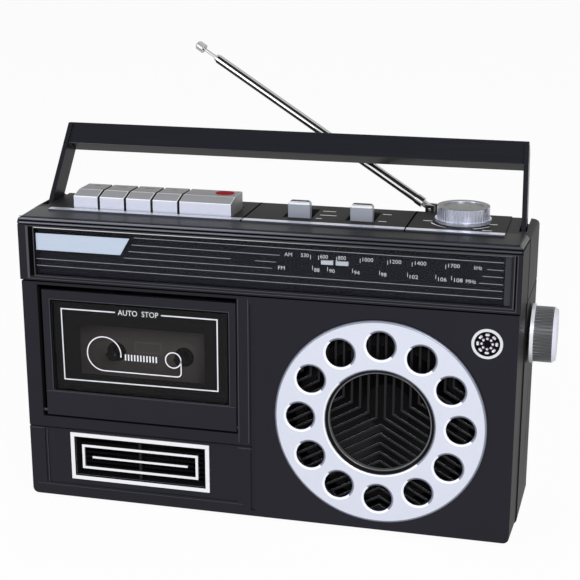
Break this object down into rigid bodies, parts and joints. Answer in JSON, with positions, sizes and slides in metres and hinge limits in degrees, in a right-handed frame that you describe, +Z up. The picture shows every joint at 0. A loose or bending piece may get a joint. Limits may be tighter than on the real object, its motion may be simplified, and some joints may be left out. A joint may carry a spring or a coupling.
{
  "type": "radio cassette recorder",
  "caption": "Portable box radio with a hinged cassette door, dial with pointer, round-hole speaker ring, keys, knobs, carrying handle and telescopic antenna.",
  "frame": {"origin": "centre of the body's footprint on the surface it stands on", "axes": "+X right as seen from the front, +Y towards the back, +Z up"},
  "size_m": [0.312, 0.1145, 0.267],
  "materials": {
    "case_plastic": "satin charcoal black",
    "panel_plastic": "satin brown-black",
    "door_plastic": "satin charcoal black",
    "smoked_window": "smoked clear acrylic",
    "dial_black": "gloss black with white print",
    "silver_paint": "satin silver",
    "pointer_white": "white",
    "grille_plastic": "matte black",
    "vent_chrome": "bright",
    "key_plastic": "silver painted",
    "record_red": "red",
    "lever_plastic": "silver painted",
    "knob_aluminium": "ribbed side, spun top",
    "handle_plastic": "satin black",
    "antenna_chrome": "polished",
    "steel": "plain",
    "inner_plastic": "plain",
    "motor_brass": "turned",
    "rubber": "matte",
    "paper": "matte black",
    "board": "phenolic board",
    "transformer_iron": "varnished"
  },
  "bodies": {
    "cabinet": {"front_cabinet": "case_plastic", "rear_cabinet": "case_plastic", "key_panel": "panel_plastic", "switch_panel": "panel_plastic", "volume_panel": "panel_plastic", "dial_lens": "smoked_window", "dial_scale": "dial_black", "panel_trims": "silver_paint", "speaker_ring": "silver_paint", "dial_badge": "silver_paint", "microphone_bezel": "silver_paint", "speaker_grille": "grille_plastic", "vent_grille": "grille_plastic", "microphone_grille": "grille_plastic", "vent_frame": "vent_chrome", "vent_insert": "vent_chrome", "speaker_frame": "steel", "key_axle": "steel", "deck_chassis": "steel", "deck_motor": "steel", "case_screws": "steel", "battery_contacts": "steel", "tuning_capacitor": "inner_plastic", "slide_switches": "inner_plastic", "volume_control": "inner_plastic", "mains_inlet": "inner_plastic", "feet": "rubber", "drive_belt": "rubber", "speaker_cone": "paper", "main_board": "board", "power_transformer": "transformer_iron"},
    "stop_key": {"stop_key": "key_plastic"},
    "forward_key": {"forward_key": "key_plastic"},
    "rewind_key": {"rewind_key": "key_plastic"},
    "play_key": {"play_key": "key_plastic"},
    "record_key": {"record_key": "key_plastic", "record_mark": "record_red"},
    "cassette_door": {"cassette_door": "door_plastic", "cassette_window": "smoked_window"},
    "handle": {"handle": "handle_plastic"},
    "volume_knob": {"volume_knob": "knob_aluminium"},
    "tuning_control": {"tuning_knob": "knob_aluminium", "tuning_shaft": "steel"},
    "tuning_drum": {"tuning_drum": "inner_plastic"},
    "dial_pointer": {"dial_pointer": "pointer_white"},
    "function_lever": {"function_lever": "lever_plastic"},
    "band_lever": {"band_lever": "lever_plastic"},
    "supply_spindle": {"supply_spindle": "inner_plastic"},
    "takeup_spindle": {"takeup_spindle": "inner_plastic"},
    "flywheel": {"flywheel": "steel"},
    "motor_pulley": {"motor_pulley": "motor_brass"},
    "head_bridge": {"head_bridge": "steel"},
    "pinch_roller": {"pinch_roller": "rubber"},
    "battery_door": {"battery_door": "case_plastic"},
    "antenna_turret": {"antenna_turret": "antenna_chrome"},
    "antenna_arm": {"antenna_elbow": "antenna_chrome", "antenna_tube": "antenna_chrome"},
    "antenna_middle": {"antenna_middle": "antenna_chrome"},
    "antenna_rod": {"antenna_rod": "antenna_chrome", "antenna_tip": "antenna_chrome"}
  },
  "joints": [
    {"name": "stop_key_press", "type": "hinge", "parent": "cabinet", "child": "stop_key", "pos_m": [0, 0.017, 0.168], "axis": [1, 0, 0], "range_deg": [0, 4.5], "stiffness_Nm_per_rad": 1, "springref_deg": -2.86},
    {"name": "forward_key_press", "type": "hinge", "parent": "cabinet", "child": "forward_key", "pos_m": [0, 0.017, 0.168], "axis": [1, 0, 0], "range_deg": [0, 4.5], "stiffness_Nm_per_rad": 1, "springref_deg": -2.86},
    {"name": "rewind_key_press", "type": "hinge", "parent": "cabinet", "child": "rewind_key", "pos_m": [0, 0.017, 0.168], "axis": [1, 0, 0], "range_deg": [0, 4.5], "stiffness_Nm_per_rad": 1, "springref_deg": -2.86},
    {"name": "play_key_press", "type": "hinge", "parent": "cabinet", "child": "play_key", "pos_m": [0, 0.017, 0.168], "axis": [1, 0, 0], "range_deg": [0, 4.5], "stiffness_Nm_per_rad": 1, "springref_deg": -2.86},
    {"name": "record_key_press", "type": "hinge", "parent": "cabinet", "child": "record_key", "pos_m": [0, 0.017, 0.168], "axis": [1, 0, 0], "range_deg": [0, 4.5], "stiffness_Nm_per_rad": 1, "springref_deg": -2.86},
    {"name": "door_hinge", "type": "hinge", "parent": "cabinet", "child": "cassette_door", "pos_m": [0, -0.036, 0.0565], "axis": [1, 0, 0], "range_deg": [0, 35]},
    {"name": "handle_pivot", "type": "hinge", "parent": "cabinet", "child": "handle", "pos_m": [0, 0.001, 0.1625], "axis": [1, 0, 0], "range_deg": [0, 34.2]},
    {"name": "volume_turn", "type": "hinge", "parent": "cabinet", "child": "volume_knob", "pos_m": [0.1075, 0.007, 0.18], "axis": [0, 0, 1], "range_deg": [-150, 150]},
    {"name": "tuning_turn", "type": "hinge", "parent": "cabinet", "child": "tuning_control", "pos_m": [0.155, 0.006, 0.114], "axis": [1, 0, 0], "range_deg": [-343.8, 945.4]},
    {"name": "drum_turn", "type": "hinge", "parent": "cabinet", "child": "tuning_drum", "pos_m": [0.106, 0, 0.139], "axis": [0, 1, 0], "range_deg": [-49, 133]},
    {"name": "pointer_slide", "type": "slide", "parent": "cabinet", "child": "dial_pointer", "axis": [1, 0, 0], "range_m": [-0.0245, 0.0665]},
    {"name": "function_slide", "type": "slide", "parent": "cabinet", "child": "function_lever", "axis": [0, 1, 0], "range_m": [0, 0.018]},
    {"name": "band_slide", "type": "slide", "parent": "cabinet", "child": "band_lever", "axis": [0, 1, 0], "range_m": [0, 0.018]},
    {"name": "supply_turn", "type": "hinge", "parent": "cabinet", "child": "supply_spindle", "pos_m": [-0.09345, 0, 0.092], "axis": [0, 1, 0], "continuous": true},
    {"name": "takeup_turn", "type": "hinge", "parent": "cabinet", "child": "takeup_spindle", "pos_m": [-0.05095, 0, 0.092], "axis": [0, 1, 0], "continuous": true},
    {"name": "flywheel_turn", "type": "hinge", "parent": "cabinet", "child": "flywheel", "pos_m": [-0.04, 0, 0.1175], "axis": [0, 1, 0], "continuous": true},
    {"name": "motor_turn", "type": "hinge", "parent": "cabinet", "child": "motor_pulley", "pos_m": [-0.108, 0, 0.1175], "axis": [0, 1, 0], "continuous": true},
    {"name": "head_slide", "type": "slide", "parent": "cabinet", "child": "head_bridge", "axis": [0, 0, -1], "range_m": [0, 0.004]},
    {"name": "roller_turn", "type": "hinge", "parent": "head_bridge", "child": "pinch_roller", "pos_m": [-0.04, 0, 0.1305], "axis": [0, 1, 0], "continuous": true},
    {"name": "battery_door_hinge", "type": "hinge", "parent": "cabinet", "child": "battery_door", "pos_m": [0, 0.037, 0.0119], "axis": [-1, 0, 0], "range_deg": [0, 80]},
    {"name": "antenna_swivel", "type": "hinge", "parent": "cabinet", "child": "antenna_turret", "pos_m": [0.086, 0.032, 0.1776], "axis": [0, 0, -1], "range_deg": [0, 150]},
    {"name": "antenna_tilt", "type": "hinge", "parent": "antenna_turret", "child": "antenna_arm", "pos_m": [0.086, 0.032, 0.1776], "axis": [0.2504, 0.9681, 0], "range_deg": [-24, 3]},
    {"name": "antenna_middle_slide", "type": "slide", "parent": "antenna_arm", "child": "antenna_middle", "axis": [-0.85, 0.2198, 0.4787], "range_m": [0, 0.13]},
    {"name": "antenna_rod_slide", "type": "slide", "parent": "antenna_middle", "child": "antenna_rod", "axis": [-0.85, 0.2198, 0.4787], "range_m": [0, 0.13]}
  ],
  "couplings": [
    {"joint": "drum_turn", "follows": "tuning_turn", "ratio": 0.13962},
    {"joint": "pointer_slide", "follows": "tuning_turn", "m_per_rad": 0.004},
    {"joint": "motor_turn", "follows": "flywheel_turn", "ratio": 4.4},
    {"joint": "head_slide", "follows": "play_key_press", "m_per_rad": 0.04966}
  ]
}
